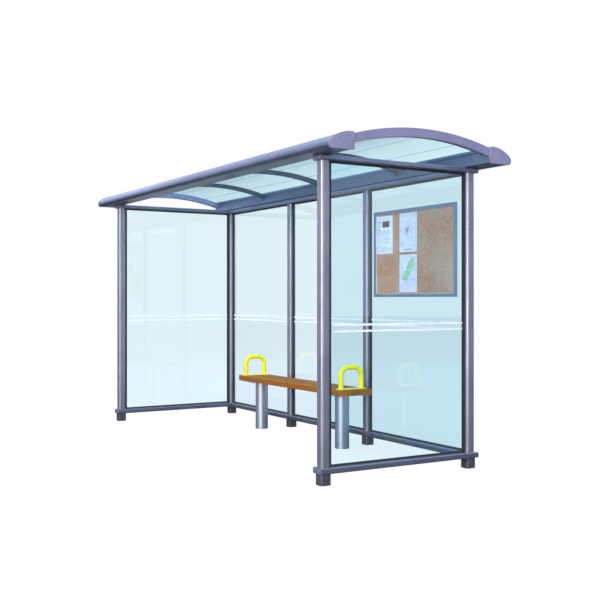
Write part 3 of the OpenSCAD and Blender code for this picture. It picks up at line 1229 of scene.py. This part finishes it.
    def print_route_map(self, shape: Shape, draw: random.Random) -> None:
        """Routes that run out from a dark knot of lines, with an inset box and a caption bar.

        Args:
            shape: the mesh that gets it.
            draw: the source of random numbers.
        """
        hub = (0.45 * self.width, 0.56 * self.height)
        self.patch(shape, 0.03 * self.width, 0.12 * self.height, 0.94 * self.width, 0.84 * self.height, Ink.LILAC)
        inks = (Ink.BLUE, Ink.PINK, Ink.GREY, Ink.BLUE, Ink.DARK, Ink.PINK)
        for number in range(self.routes):
            heading = 2 * math.pi * number / self.routes + draw.uniform(-0.1, 0.1)
            reach = draw.uniform(0.55, 1.0)
            path = [hub]
            for step in range(1, self.route_steps + 1):
                share = reach * step / self.route_steps
                bend = heading + draw.uniform(-0.35, 0.35) * share
                x = hub[0] + math.cos(bend) * share * 0.5 * self.width
                z = hub[1] + math.sin(bend) * share * 0.42 * self.height
                x = min(max(x, 0.05 * self.width), 0.95 * self.width)
                path.append((x, min(max(z, 0.14 * self.height), 0.94 * self.height)))
            self.strip(shape, path, draw.uniform(0.0012, 0.0024), inks[number % len(inks)], 2)
        for _ in range(self.knot_strokes):
            angle, out = draw.uniform(0, 2 * math.pi), draw.uniform(0.002, 0.034)
            x, z = hub[0] + math.cos(angle) * out, hub[1] + math.sin(angle) * out * 1.2
            end = (x + draw.uniform(-0.012, 0.012), z + draw.uniform(-0.012, 0.012) + 0.001)
            self.strip(shape, [(x, z), end], 0.0016, Ink.DARK, 3)
        left, low, wide, high = 0.70 * self.width, 0.74 * self.height, 0.25 * self.width, 0.19 * self.height
        self.patch(shape, left, low, wide, high, Ink.PAPER, 3)
        corners = [(left, low), (left + wide, low), (left + wide, low + high), (left, low + high)]
        self.strip(shape, corners, 0.0024, Ink.PINK, 4, closed=True)
        self.patch(shape, 0.28 * self.width, 0.045 * self.height, 0.44 * self.width, 0.03 * self.height, Ink.GREY)

    def print_area_map(self, shape: Shape, draw: random.Random) -> None:
        """A pale street map with a green park across it and a small brown mark.

        Args:
            shape: the mesh that gets it.
            draw: the source of random numbers.
        """
        self.patch(shape, 0.03 * self.width, 0.04 * self.height, 0.94 * self.width, 0.92 * self.height, Ink.LILAC)
        park = [(0.16, 0.20), (0.30, 0.36), (0.46, 0.50), (0.62, 0.66), (0.80, 0.84)]
        for number, width in enumerate((0.030, 0.052, 0.040)):
            shift = (number - 1) * 0.11
            path = [(x * self.width, min(0.9, max(0.12, z + shift)) * self.height) for x, z in park]
            self.strip(shape, path, width, Ink.GREEN, 2)
        for number in range(self.streets):
            x, z = draw.uniform(0.06, 0.94), draw.uniform(0.07, 0.92)
            if number % 2 == 0:
                end = (draw.uniform(0.06, 0.94), z + draw.uniform(-0.05, 0.05))
            else:
                end = (x + draw.uniform(-0.05, 0.05), draw.uniform(0.07, 0.92))
            held = [(min(max(px, 0.05), 0.95), min(max(pz, 0.06), 0.93)) for px, pz in ((x, z), end)]
            path = [(px * self.width, pz * self.height) for px, pz in held]
            if math.dist(*path) > 0.02:
                self.strip(shape, path, draw.uniform(0.0012, 0.003), Ink.PAPER if number % 3 else Ink.GREY, 3)
        self.patch(shape, 0.36 * self.width, 0.13 * self.height, 0.10 * self.width, 0.07 * self.height, Ink.BROWN, 4)

    def build(self) -> None:
        """Makes the sheet and its printing as one piece."""
        shape = bmesh.new()
        self.sheet(shape)
        printer: dict[PrintStyle, Callable[[Shape, random.Random], None]] = {
            PrintStyle.LIST: self.print_list,
            PrintStyle.ROUTE_MAP: self.print_route_map,
            PrintStyle.AREA_MAP: self.print_area_map,
        }
        printer[self.style](shape, random.Random(self.seed))
        finish_piece(self.name, shape, [self.paper, *INK_FINISHES.values()])


@dataclass
class NoticeBoard:
    """What hangs on and holds the notice board: notices, their pins, a bead round the cork, its backing and screws."""

    frame_width: float = 0.024
    bead_width: float = 0.006
    bead_height: float = 3 * MM
    pin_radius: float = 4.5 * MM
    pin_inset: float = 0.009
    pin_gap: float = 0.6 * MM
    screw_radius: float = 5 * MM
    screw_up: float = 0.12
    screw_along: float = 0.2
    rivet_radius: float = 3 * MM
    first_seed: int = 31
    backing_depth: float = 2 * MM
    backing_proud: float = 0.4 * MM
    backing_margin: float = 1.5 * MM
    rivet_pitch: float = 0.2
    sheets: tuple[tuple[str, float, float, float, float, PrintStyle, str], ...] = (
        ("timetable_notice", 0.803, 1.632, 0.227, 0.316, PrintStyle.LIST, "#f1eff8"),
        ("route_map_notice", 1.123, 1.636, 0.229, 0.316, PrintStyle.ROUTE_MAP, "#eceaf6"),
        ("area_map_notice", 1.123, 1.312, 0.229, 0.303, PrintStyle.AREA_MAP, "#e6e8f6"),
    )

    def build(self) -> None:
        """Makes the notices, pins, bead, backing and frame screws."""
        cork = Extent.of("notice_board_panel")
        board = Extent.of("notice_board_frame")
        pins = bmesh.new()
        for number, (name, left, bottom, width, height, style, colour) in enumerate(self.sheets):
            paper = PrintedStock(f"coated_paper_{number + 1}", colour=colour, second="#dfdcec", patch_mm=60.0)
            seed = self.first_seed + number
            Notice(name, left, bottom, width, height, style, paper, seed, cork.low.y).build()
            for sx in (self.pin_inset, width - self.pin_inset):
                for sz in (self.pin_inset, height - self.pin_inset):
                    self.pin(pins, Vector((left + sx, cork.low.y - self.pin_gap, bottom + sz)))
        finish_piece("notice_pins", pins, [SCREW_STEEL])
        self.bead(board)
        self.backing(cork)
        self.screws(board)

    def pin(self, shape: Shape, place: Vector) -> None:
        """Adds one drawing pin with a low domed head.

        Args:
            shape: the mesh that gets it.
            place: the middle of the head's underside.
        """
        dome = ((0.0, 0.0), (1.0, 0.0), (0.97, 0.5), (0.75, 1.2), (0.4, 1.7), (0.0, 1.9))
        profile = [(out * self.pin_radius, rise * MM) for out, rise in dome]
        turned(shape, profile, facing(place, -Y_AXIS), 16)

    def backing(self, cork: Extent) -> None:
        """Makes the thin coated sheet that closes the back of the cork, with rivets along its rim.

        Args:
            cork: the cork panel's box.
        """
        size, middle = cork.size, cork.middle
        shape = bmesh.new()
        outline = round_outline(size.x - 2 * self.backing_margin, size.z - 2 * self.backing_margin, 3 * MM)
        start = Vector((middle.x, cork.high.y + self.backing_proud - self.backing_depth, middle.z))
        extruded(shape, outline, self.backing_depth, facing(start, Y_AXIS), edge=0.2 * MM)
        across = round(size.x / self.rivet_pitch)
        for number in range(across):
            x = cork.low.x + size.x * (number + 0.5) / across
            for z in (cork.low.z + self.pin_inset, cork.high.z - self.pin_inset):
                spot = Vector((x, start.y + self.backing_depth, z))
                pan_screw(shape, facing(spot, Y_AXIS), self.rivet_radius, 0.8 * MM)
        finish_piece("notice_board_backing", shape, [BOARD_BACKING])

    def bead(self, board: Extent) -> None:
        """Makes the light snap-in bead round the inside of the frame, mitred at its corners.

        Args:
            board: the frame's box.
        """
        inset = self.frame_width
        outer = ((board.low.x + inset, board.low.z + inset), (board.high.x - inset, board.high.z - inset))
        face = Extent.of("notice_board_panel").low.y
        wide, high = self.bead_width, self.bead_height
        section = [(0.0, 0.0), (0.0, high), (0.35 * wide, high), (wide, 0.0)]
        shape = bmesh.new()
        loops = []
        for sx, sz in ((0, 0), (1, 0), (1, 1), (0, 1)):
            corner = []
            for inward, rise in section:
                x = outer[sx][0] + (inward if sx == 0 else -inward)
                z = outer[sz][1] + (inward if sz == 0 else -inward)
                corner.append(shape.verts.new((x, face - rise, z)))
            loops.append(corner)
        for a, b in zip(loops, loops[1:] + loops[:1]):
            for k in range(len(section)):
                m = (k + 1) % len(section)
                shape.faces.new((a[k], b[k], b[m], a[m]))
        finish_piece("notice_board_bead", shape, [BEAD_METAL])

    def screws(self, board: Extent) -> None:
        """Makes the screws that hold the frame, two a side.

        Args:
            board: the frame's box.
        """
        shape = bmesh.new()
        mid = self.frame_width / 2
        spots = []
        for in_x, in_z in ((mid, self.screw_up), (self.screw_along, mid)):
            for x in (board.low.x + in_x, board.high.x - in_x):
                spots += [(x, z) for z in (board.low.z + in_z, board.high.z - in_z)]
        for x, z in spots:
            pan_screw(shape, facing(Vector((x, board.low.y, z)), -Y_AXIS), self.screw_radius, 2.4 * MM)
        finish_piece("notice_board_screws", shape, [SCREW_STEEL])


@dataclass
class RailEnds:
    """The plates that close the front ends of the end rails, with two screws in each."""

    thickness: float = 2.5 * MM
    inset: float = 1.5 * MM
    corner: float = 7 * MM
    screw_spread: float = 0.033
    screw_radius: float = 5 * MM

    def build(self) -> None:
        """Makes the plates and their screws."""
        plates, screws = bmesh.new(), bmesh.new()
        for side in Side:
            for level in ("bottom", "top"):
                rail = Extent.of(f"{side.name.lower()}_{level}_rail")
                post = Extent.of(f"front_{side.name.lower()}_post")
                face = Vector((post.middle.x, rail.low.y, rail.middle.z))
                outer = rail.high.x if side is Side.RIGHT else rail.low.x
                width = 2 * abs(outer - post.middle.x)
                outline = round_outline(width - 2 * self.inset, rail.size.z - 2 * self.inset, self.corner)
                extruded(plates, outline, self.thickness, facing(face, -Y_AXIS), 0.8 * MM)
                for sx in (-1, 1):
                    spot = face + Vector((sx * self.screw_spread, -self.thickness, 0))
                    pan_screw(screws, facing(spot, -Y_AXIS), self.screw_radius, 2.2 * MM)
        finish_piece("rail_end_plates", plates, [END_PLATE])
        finish_piece("rail_end_screws", screws, [SCREW_STEEL])


@dataclass
class RoofEdge:
    """The moulded end caps of the fascia and gutter, with rounded rims and screws darkened with painted countersink
    shade.

    The outline is the fascia's own, drawn outwards from a post line, grown by the cap's lip.
    """

    post_line: float = 0.6375
    rail_top: float = 2.224
    nose: tuple[float, float] = (0.113, 0.031)
    nose_radius: float = 0.031
    crown_radius: float = 0.240
    nose_angle: float = 47.0
    inner: float = 0.0495
    grow: float = 0.003
    thickness: float = 9.4 * MM
    rim: float = 2.4 * MM
    outer_face: float = 2.2494
    screw_radius: float = 4.5 * MM
    screw_sink: float = 0.2 * MM
    screws: tuple[tuple[float, float], ...] = ((-0.015, 0.092), (0.060, 0.078))
    inner_corner: float = 0.013
    crest_corner: float = 0.007
    corner_steps: int = 8
    crest_steps: int = 6
    crown_steps: int = 24
    nose_steps: int = 20

    def outline(self) -> list[tuple[float, float]]:
        """Draws the cap's outline.

        Returns:
            Its points, as outward and upward distances from the post line and the rails' top.
        """
        turn = math.radians(self.nose_angle)
        crown = (
            self.nose[0] - (self.crown_radius - self.nose_radius) * math.cos(turn),
            self.nose[1] - (self.crown_radius - self.nose_radius) * math.sin(turn),
        )
        big, small = self.crown_radius + self.grow, self.nose_radius + self.grow
        inner_x = -self.inner - self.grow
        start = math.acos((inner_x + self.crest_corner - crown[0]) / big)
        crest = crown[1] + math.sqrt(big * big - (inner_x - crown[0]) ** 2)
        r = self.inner_corner
        points = []
        for k in range(self.corner_steps + 1):
            angle = -math.pi / 2 * (1 + k / self.corner_steps)
            points.append((inner_x + r + r * math.cos(angle), r + r * math.sin(angle)))
        first = (crown[0] + big * math.cos(start), crown[1] + big * math.sin(start))
        for k in range(self.crest_steps):
            t = k / self.crest_steps
            keep, turned_in, lead = (1 - t) ** 2, 2 * t * (1 - t), t * t
            up = (crest - self.crest_corner) * keep + crest * turned_in + first[1] * lead
            points.append((inner_x * (keep + turned_in) + first[0] * lead, up))
        for k in range(self.crown_steps + 1):
            angle = start + (turn - start) * k / self.crown_steps
            points.append((crown[0] + big * math.cos(angle), crown[1] + big * math.sin(angle)))
        low = -math.asin(self.nose[1] / small)
        for k in range(1, self.nose_steps + 1):
            angle = turn + (low - turn) * k / self.nose_steps
            points.append((self.nose[0] + small * math.cos(angle), self.nose[1] + small * math.sin(angle)))
        return [p for p in points if p[1] >= -1e-9]

    def build(self) -> None:
        """Makes the caps of each end, in place of the plain ones, and their screws."""
        for side in Side:
            shape, screws = bmesh.new(), bmesh.new()
            for edge in (-1, 1):
                base_x = side.value * (self.outer_face - self.thickness)
                rows = ((0, 0, side.value, base_x), (edge, 0, 0, edge * self.post_line), (0, 1, 0, self.rail_top))
                place = Matrix((*rows, (0, 0, 0, 1)))
                extruded(shape, self.outline(), self.thickness, place, self.rim)
                for out, up in self.screws:
                    face = side.value * (self.outer_face - self.screw_sink)
                    spot = Vector((face, edge * (self.post_line + out), self.rail_top + up))
                    pan_screw(screws, facing(spot, side.value * X_AXIS), self.screw_radius, 0.7 * MM)
            piece = finish_piece(f"{side.name.lower()}_moulded_caps", shape, [CAP_ABS])
            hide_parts(f"{side.name.lower()}_roof_caps")
            # The screws' dark finish is painted shade of their countersinks.
            finish_piece(f"{side.name.lower()}_cap_screws", screws, [CAP_SCREW_PAINTED_SHADE])


@dataclass
class RoofFixings:
    """Cleats that hold the ribs to the fascia and gutter, screws in the cover strips, and seams in the sheets."""

    ribs: tuple[str, ...] = ("left_roof_rib", "centre_roof_rib", "right_roof_rib")
    cleat_width: float = 0.066
    cleat_height: float = 0.048
    cleat_thickness: float = 4 * MM
    cleat_corner: float = 0.008
    cleat_middle: float = 2.287
    bolt_spread: float = 0.0265
    bolt_size: float = 0.007
    screw_steps: tuple[float, ...] = (-0.52, -0.38, -0.24, 0.24, 0.38, 0.52)
    screw_radius: float = 6 * MM
    sheet_radius: float = 2.135
    cover_height: float = 0.003
    sheet_height: float = 0.006
    seam_lines: tuple[float, ...] = (-0.528, -0.222, 0.084, 0.390)
    seam_width: float = 5 * MM
    seam_height: float = 1.2 * MM
    seam_inset: float = 0.030

    def build(self) -> None:
        """Makes the cleats, their bolts, the cover screws and the seams."""
        sheet = Extent.of("inner_left_roof_sheet")
        rib = Extent.of(self.ribs[0])
        centre_z = sheet.high.z - self.sheet_radius
        self.cleats(rib)
        self.cover_screws(centre_z)
        self.seams(centre_z)

    def cleats(self, rib: Extent) -> None:
        """Makes a small plate at each end of each rib, with two bolts.

        Args:
            rib: the box of one rib.
        """
        plates, bolts = bmesh.new(), bmesh.new()
        outline = round_outline(self.cleat_width, self.cleat_height, self.cleat_corner)
        for name in self.ribs:
            middle = Extent.of(name).middle.x
            for edge, face in ((-1, rib.low.y), (1, rib.high.y)):
                inward = Vector((0, -edge, 0))
                spot = Vector((middle, face, self.cleat_middle))
                extruded(plates, outline, self.cleat_thickness, facing(spot, inward), 1 * MM)
                for sx in (-1, 1):
                    at = spot + inward * self.cleat_thickness + Vector((sx * self.bolt_spread, 0, 0))
                    hex_bolt(bolts, facing(at, inward), self.bolt_size)
        # The cleats take the ribs' darker copy of the coat, which is painted shade.
        finish_piece("roof_rib_cleats", plates, [RIB_COAT_PAINTED_SHADE])
        finish_piece("roof_rib_bolts", bolts, [SCREW_STEEL])

    def cover_screws(self, centre_z: float) -> None:
        """Makes the screws along the three cover strips.

        Args:
            centre_z: the height of the roof's centre of curvature.
        """
        shape = bmesh.new()
        reach = self.sheet_radius + self.cover_height
        for name in self.ribs:
            middle = Extent.of(name).middle.x
            for y in self.screw_steps:
                rise = math.sqrt(reach * reach - y * y)
                outward = Vector((0, y, rise)).normalized()
                pan_screw(shape, facing(Vector((middle, y, centre_z + rise)), outward), self.screw_radius, 3 * MM)
        finish_piece("roof_cover_screws", shape, [SCREW_STEEL])

    def seams(self, centre_z: float) -> None:
        """Makes the fine stiffening seams along the underside of the sheets, clear of the ribs.

        Args:
            centre_z: the height of the roof's centre of curvature.
        """
        shape = bmesh.new()
        reach = self.sheet_radius - self.sheet_height
        for name in ("outer_left", "inner_left", "inner_right", "outer_right"):
            sheet = Extent.of(f"{name}_roof_sheet")
            low, high = sheet.low.x + self.seam_inset, sheet.high.x - self.seam_inset
            for y in self.seam_lines:
                rise = math.sqrt(reach * reach - y * y)
                inward = -Vector((0, y, rise)).normalized()
                spot = Vector(((low + high) / 2, y, centre_z + rise))
                outline = round_outline(high - low, self.seam_width, 1.2 * MM, 3)
                across = facing(spot, inward, up=inward.cross(X_AXIS))
                extruded(shape, outline, self.seam_height, across, 0.5 * MM)
        finish_piece("roof_sheet_seams", shape, [SEAM_PLASTIC])


@dataclass
class Bench:
    """Fixings of the bench: hoop plate screws and their nuts, leg plate bolts, weld beads and set screws."""

    screw_radius: float = 5 * MM
    screw_inset: tuple[float, float] = (0.0085, 0.0085)
    plate_rise: float = 0.006
    nut_size: float = 0.013
    bolt_size: float = 0.015
    bolt_spread: tuple[float, float] = (0.038, 0.108)
    weld_radius: float = 3.2 * MM
    weld_sides: int = 96
    weld_around: int = 8
    ripples: int = 24
    ripple_depth: float = 0.12
    set_screw_height: float = 0.070

    def build(self) -> None:
        """Makes every fixing, mirrored on the two ends."""
        screws, bolts, welds = bmesh.new(), bmesh.new(), bmesh.new()
        seat = Extent.of("seat_front_board")
        for side in Side:
            name = side.name.lower()
            hoop = Extent.of(f"{name}_armrest_hoop")
            leg = Extent.of(f"{name}_seat_leg")
            plate_top = hoop.low.z + self.plate_rise
            for sx in (-1, 1):
                for sy in (-1, 1):
                    x = hoop.middle.x + sx * (hoop.size.x / 2 - self.screw_inset[0])
                    y = hoop.middle.y + sy * (hoop.size.y / 2 - self.screw_inset[1])
                    pan_screw(screws, facing(Vector((x, y, plate_top)), Z_AXIS), self.screw_radius, 2.5 * MM)
                    hex_bolt(bolts, facing(Vector((x, y, seat.low.z)), -Z_AXIS), self.nut_size)
                    x, y = leg.middle.x + sx * self.bolt_spread[0], leg.middle.y + sy * self.bolt_spread[1]
                    hex_bolt(bolts, facing(Vector((x, y, leg.high.z)), -Z_AXIS), self.bolt_size)
            self.weld(welds, leg)
            low = Vector((leg.middle.x, leg.low.y, self.set_screw_height))
            pan_screw(screws, facing(low, -Y_AXIS), self.screw_radius, 2 * MM)
        finish_piece("bench_screws", screws, [SCREW_STEEL])
        finish_piece("bench_bolts", bolts, [SCREW_STEEL])
        finish_piece("bench_leg_welds", welds, [LEG_STEEL])

    def weld(self, shape: Shape, leg: Extent) -> None:
        """Adds the rippled weld bead between a leg and its plate.

        Args:
            shape: the mesh that gets it.
            leg: the leg's box.
        """
        rings = []
        for i in range(self.weld_sides):
            angle = 2 * math.pi * i / self.weld_sides
            bead = self.weld_radius * (1 + self.ripple_depth * math.sin(self.ripples * angle))
            ring = []
            for k in range(self.weld_around):
                turn = 2 * math.pi * k / self.weld_around
                out = leg.size.x / 2 + bead * math.cos(turn)
                x, y = leg.middle.x + out * math.cos(angle), leg.middle.y + out * math.sin(angle)
                ring.append(shape.verts.new((x, y, leg.high.z - self.weld_radius + bead * math.sin(turn))))
            rings.append(ring)
        for a, b in zip(rings, rings[1:] + rings[:1]):
            for k in range(self.weld_around):
                m = (k + 1) % self.weld_around
                shape.faces.new((a[k], a[m], b[m], b[k]))


# --- Studio --------------------------------------------------------------------------------------------------------


@dataclass(frozen=True)
class Softbox:
    """One large soft lamp."""

    name: str
    place: tuple[float, float, float]
    aim: tuple[float, float, float]
    width: float
    height: float
    power: float
    colour: str

    def build(self) -> None:
        """Hangs the lamp and turns it to its aim."""
        lamp = bpy.data.lights.new(self.name, "AREA")
        lamp.shape = "RECTANGLE"
        lamp.size, lamp.size_y = self.width, self.height
        lamp.energy = self.power
        lamp.color = linear(self.colour)[:3]
        piece = bpy.data.objects.new(self.name, lamp)
        piece.location = self.place
        piece.rotation_euler = (Vector(self.aim) - Vector(self.place)).to_track_quat("-Z", "Y").to_euler()
        piece.visible_camera = piece.visible_transmission = False
        bpy.context.scene.collection.objects.link(piece)


@dataclass
class Studio:
    """A plain pale floor, a soft sky-like surround, large lamps and the camera."""

    floor_radius: float = 60.0
    zenith: str = "#d3e0ff"
    horizon: str = "#d2d6e2"
    surround: float = 1.1
    camera_place: tuple[float, float, float] = (7.2833, -4.0115, 1.2544)
    camera_turn: float = 30.858
    sensor_mm: float = 36.0
    lens_mm: float = 56.1108
    shift: tuple[float, float] = (0.001, -0.0016166667)
    lamps: tuple[Softbox, ...] = (
        Softbox("key_softbox", (6.0, -9.5, 5.5), (0.0, 0.0, 1.2), 4.0, 6.0, 420.0, "#fff8f0"),
        Softbox("edge_softbox", (6.2, -8.6, 1.9), (0.0, 0.0, 1.3), 4.6, 3.4, 600.0, "#fffaf6"),
        Softbox("sky_softbox", (0.0, -1.0, 9.0), (0.0, 0.0, 1.0), 9.0, 7.0, 700.0, "#dfe8ff"),
        Softbox("end_softbox", (-10.0, 1.5, 3.6), (0.0, 0.0, 1.8), 8.0, 4.5, 105.0, "#bccdff"),
        Softbox("side_softbox", (9.0, -1.5, 1.9), (1.9, -0.7, 1.3), 3.6, 3.0, 110.0, "#eef3ff"),
        Softbox("back_softbox", (-3.0, 9.0, 5.0), (0.0, 0.0, 1.2), 7.0, 4.0, 450.0, "#eef2ff"),
    )

    def build(self) -> None:
        """Makes the floor, the surround, the lamps and the camera."""
        self.floor()
        self.surrounding()
        for lamp in self.lamps:
            lamp.build()
        self.camera()
        bpy.context.scene.view_settings.view_transform = "Standard"

    def floor(self) -> None:
        """Lays the floor as a wide round sheet with a faint cast finish."""
        shape = bmesh.new()
        rings = [0.0, 2.0, 6.0, 15.0, self.floor_radius]
        turned(shape, [(r, 0.0) for r in rings], Matrix.Identity(4), 64)
        mesh = bpy.data.meshes.new("floor")
        shape.to_mesh(mesh)
        shape.free()
        floor = bpy.data.objects.new("floor", mesh)
        mesh.materials.append(FLOOR_SCREED.material())
        bpy.context.scene.collection.objects.link(floor)

    def surrounding(self) -> None:
        """Lights the scene from all round, cool overhead and dimmer at the sides; what is seen stays white."""
        world = bpy.data.worlds.new("surround")
        world.use_nodes = True
        tree = world.node_tree
        tree.nodes.clear()
        place = add_node(tree, "TexCoord").outputs["Generated"]
        height = add_node(tree, "SeparateXYZ", inputs={0: place})
        climb = add_node(tree, "MapRange", inputs=span(height.outputs["Z"], (0.02, 0.55)))
        sky = add_node(tree, "Mix", COLOURS, tones(climb.outputs[0], self.horizon, self.zenith))
        by_camera, by_glass = seen_straight(tree)
        seen = add_node(tree, "Math", {"operation": "MAXIMUM"}, {0: by_camera, 1: by_glass})
        lit = add_node(tree, "Background", inputs={"Color": sky.outputs[2], "Strength": self.surround})
        plain = add_node(tree, "Background", inputs={"Color": WHITE, "Strength": 1.0})
        both = add_node(tree, "MixShader", inputs={0: seen.outputs[0], 1: lit.outputs[0], 2: plain.outputs[0]})
        add_node(tree, "OutputWorld", inputs={"Surface": both.outputs[0]})
        bpy.context.scene.world = world

    def camera(self) -> None:
        """Sets the level camera to the right of the open front."""
        data = bpy.data.cameras.new("camera")
        data.sensor_width = self.sensor_mm
        data.lens = self.lens_mm
        data.shift_x, data.shift_y = self.shift
        data.clip_end = 500.0
        camera = bpy.data.objects.new("camera", data)
        camera.location = self.camera_place
        camera.rotation_euler = (math.pi / 2, 0.0, math.radians(90.0 - self.camera_turn))
        bpy.context.scene.collection.objects.link(camera)
        bpy.context.scene.camera = camera


def main() -> None:
    """Builds every sub-assembly in order, then the studio."""
    FrameFinishes().dress()
    GlassStripes().build()
    NoticeBoard().build()
    RailEnds().build()
    RoofEdge().build()
    RoofFixings().build()
    Bench().build()
    Studio().build()


if __name__ == "__main__":
    logging.basicConfig(level=logging.INFO, format="%(name)s: %(message)s")
    main()
